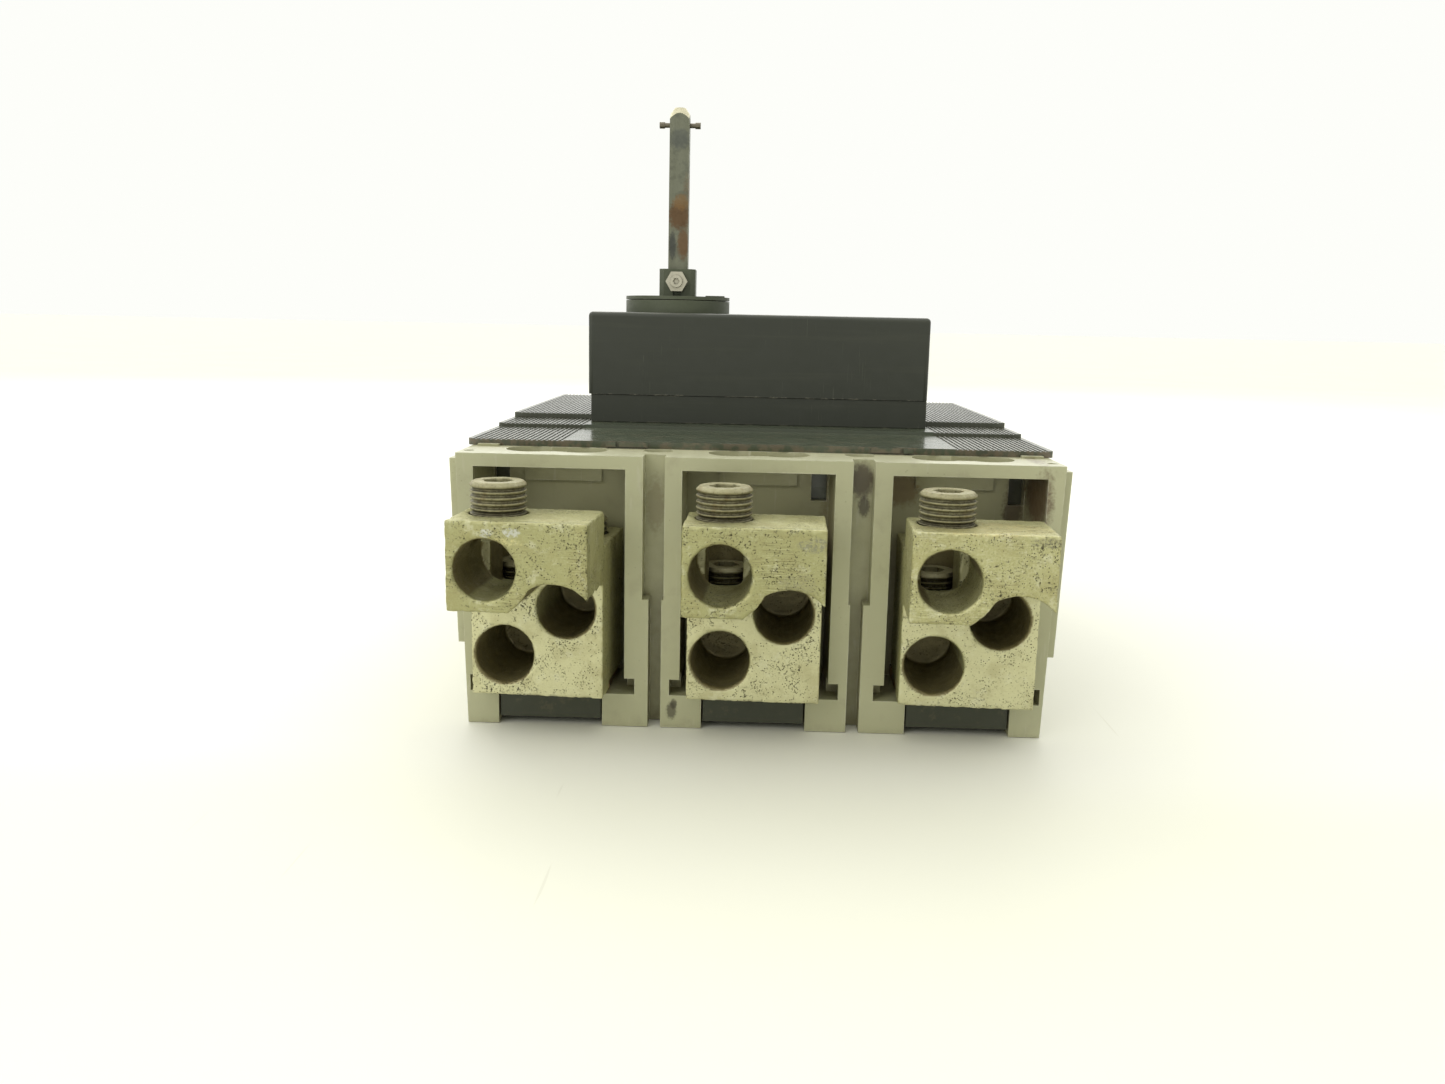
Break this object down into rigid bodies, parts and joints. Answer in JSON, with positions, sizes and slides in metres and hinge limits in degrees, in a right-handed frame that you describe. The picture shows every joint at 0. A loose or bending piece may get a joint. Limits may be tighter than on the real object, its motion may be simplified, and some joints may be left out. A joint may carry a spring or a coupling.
{
  "type": "moulded case circuit breaker",
  "caption": "Three-pole moulded-case circuit breaker with ribbed front cover, box-shaped rotary operator, square extension shaft and stepped multi-cable aluminium lugs.",
  "frame": {"origin": "centre of the rear mounting face, midway between the four mounting holes", "axes": "+Z out of the front of the breaker along the operator shaft, -Y towards the line terminals with the cable lugs, +X to the right seen from that end with the rear face down"},
  "size_m": [0.212, 0.3053, 0.2283],
  "materials": {
    "case_grey": "moulded, fine grain",
    "cover_grey": "moulded, ribbed, dark grey-green",
    "dark_plastic": "moulded, slightly glossy",
    "insulator_black": "pressed fibre",
    "operator_dark": "moulded, satin",
    "lug_aluminium": "pitted, saw-cut",
    "screw_steel": "dull, dirty threads",
    "zinc_steel": "zinc plated",
    "shaft_steel": "drawn bar, light rust",
    "hub_grey": "die-cast, painted grey",
    "copper": "tin-plated at the joints",
    "silver_pad": "sintered contact pad",
    "fibre": "vulcanised fibre sheet",
    "trip_black": "moulded",
    "button_red": "moulded"
  },
  "bodies": {
    "root": {"base_housing": "case_grey", "front_cover": "cover_grey", "line_end_insulators": "insulator_black", "load_end_insulators": "insulator_black", "cover_screws": "zinc_steel", "line_terminals": "copper", "load_terminals": "copper", "load_terminal_nuts": "zinc_steel", "load_terminal_screws": "zinc_steel", "arc_chute_plates": "zinc_steel", "arc_chute_sides": "fibre", "fixed_contact_pads": "silver_pad", "flexible_braids": "copper", "mechanism_side_plates": "zinc_steel", "cradle": "zinc_steel", "mechanism_pins": "zinc_steel", "trip_bar_brackets": "trip_black", "trip_unit_case": "trip_black", "bimetal_strips": "zinc_steel", "trip_magnets": "screw_steel", "operator_base": "operator_dark", "operator_screws": "zinc_steel", "operator_cover": "operator_dark", "operator_cover_screws": "zinc_steel", "carriage_guides": "zinc_steel", "operator_collar": "hub_grey", "lug_left": "lug_aluminium", "lug_middle": "lug_aluminium", "lug_right": "lug_aluminium", "rear_clamp_screws": "screw_steel", "lug_bolts": "zinc_steel"},
    "rotor": {"operator_rotor": "hub_grey", "crank_disc": "zinc_steel", "crank_pin": "zinc_steel", "shaft_coupling": "hub_grey", "coupling_set_screw": "zinc_steel", "coupling_lock_nut": "zinc_steel", "handle_shaft": "shaft_steel", "shaft_cross_pin": "shaft_steel"},
    "carriage": {"drive_carriage": "zinc_steel"},
    "toggle": {"toggle_handle": "trip_black", "toggle_yoke": "zinc_steel", "spring_anchor_pin": "zinc_steel", "main_springs": "screw_steel"},
    "crossbar": {"crossbar": "trip_black", "link_pins": "zinc_steel", "contact_arms": "copper", "moving_contact_pads": "silver_pad"},
    "upper_links": {"upper_links": "zinc_steel", "knee_pin": "zinc_steel"},
    "lower_links": {"lower_links": "zinc_steel"},
    "trip_bar": {"trip_bar": "trip_black"},
    "trip_push_rod": {"trip_push_rod": "button_red"},
    "clamp_screw_left": {"clamp_screw_left": "screw_steel"},
    "clamp_screw_middle": {"clamp_screw_middle": "screw_steel"},
    "clamp_screw_right": {"clamp_screw_right": "screw_steel"}
  },
  "joints": [
    {"name": "handle_turn", "type": "hinge", "parent": "root", "child": "rotor", "pos_m": [-0.036, -0.012, 0.15], "axis": [0, 0, -1], "range_deg": [0, 90]},
    {"name": "carriage_slide", "type": "slide", "parent": "root", "child": "carriage", "axis": [0, -1, 0], "range_m": [0, 0.0283]},
    {"name": "toggle_swing", "type": "hinge", "parent": "root", "child": "toggle", "pos_m": [0, 0.006, 0.054], "axis": [1, 0, 0], "range_deg": [0, 31.2], "deforming": ["main_springs"]},
    {"name": "crossbar_swing", "type": "hinge", "parent": "root", "child": "crossbar", "pos_m": [0, 0.006, 0.038], "axis": [1, 0, 0], "range_deg": [0, 36.01], "deforming": ["flexible_braids"]},
    {"name": "upper_link_swing", "type": "hinge", "parent": "root", "child": "upper_links", "pos_m": [0, 0.002, 0.074], "axis": [1, 0, 0], "range_deg": [-47.58, 0]},
    {"name": "lower_link_swing", "type": "hinge", "parent": "upper_links", "child": "lower_links", "pos_m": [0, 0.01044, 0.05971], "axis": [1, 0, 0], "range_deg": [0, 82.72]},
    {"name": "trip_button_press", "type": "slide", "parent": "root", "child": "trip_push_rod", "axis": [0, 0, -1], "range_m": [0, 0.0032], "stiffness_N_per_m": 300},
    {"name": "trip_bar_turn", "type": "hinge", "parent": "root", "child": "trip_bar", "pos_m": [0, 0.044, 0.058], "axis": [-1, 0, 0], "range_deg": [0, 12.02]},
    {"name": "clamp_screw_left_travel", "type": "slide", "parent": "root", "child": "clamp_screw_left", "axis": [0, 0, -1], "range_m": [0, 0.01]},
    {"name": "clamp_screw_middle_travel", "type": "slide", "parent": "root", "child": "clamp_screw_middle", "axis": [0, 0, -1], "range_m": [0, 0.01]},
    {"name": "clamp_screw_right_travel", "type": "slide", "parent": "root", "child": "clamp_screw_right", "axis": [0, 0, -1], "range_m": [0, 0.01]}
  ],
  "couplings": [
    {"joint": "carriage_slide", "follows": "handle_turn", "m_per_rad": 0.018006},
    {"joint": "toggle_swing", "follows": "handle_turn", "ratio": 0.34633},
    {"joint": "crossbar_swing", "follows": "handle_turn", "ratio": 0.4},
    {"joint": "upper_link_swing", "follows": "handle_turn", "ratio": -0.52846},
    {"joint": "lower_link_swing", "follows": "handle_turn", "ratio": 0.91893},
    {"joint": "trip_bar_turn", "follows": "trip_button_press", "rad_per_m": 65.4}
  ]
}
